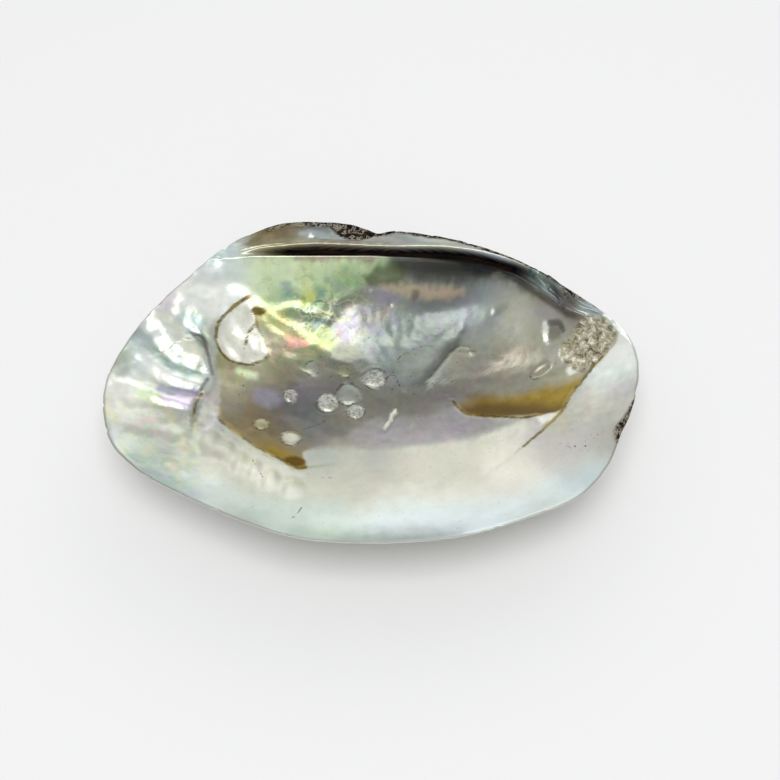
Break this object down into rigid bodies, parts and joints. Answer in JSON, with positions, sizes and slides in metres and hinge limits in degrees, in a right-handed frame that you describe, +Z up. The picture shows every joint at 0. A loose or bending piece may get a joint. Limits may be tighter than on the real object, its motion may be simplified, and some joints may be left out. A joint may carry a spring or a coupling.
{
  "type": "mother of pearl shell",
  "caption": "Empty left valve of a large freshwater pearl mussel: a shallow oval bowl of nacre with hinge ridges, teeth and blister pearls, lying on its domed back.",
  "frame": {"origin": "on the surface the shell stands on, under the middle of its bounding box", "axes": "+X towards the front end of the shell, where the beak is, +Y towards the hinge, +Z up out of the hollow"},
  "size_m": [0.18, 0.1258, 0.0274],
  "materials": {
    "nacre": "gloss"
  },
  "bodies": {
    "root": {"left_valve": "nacre"}
  },
  "joints": []
}
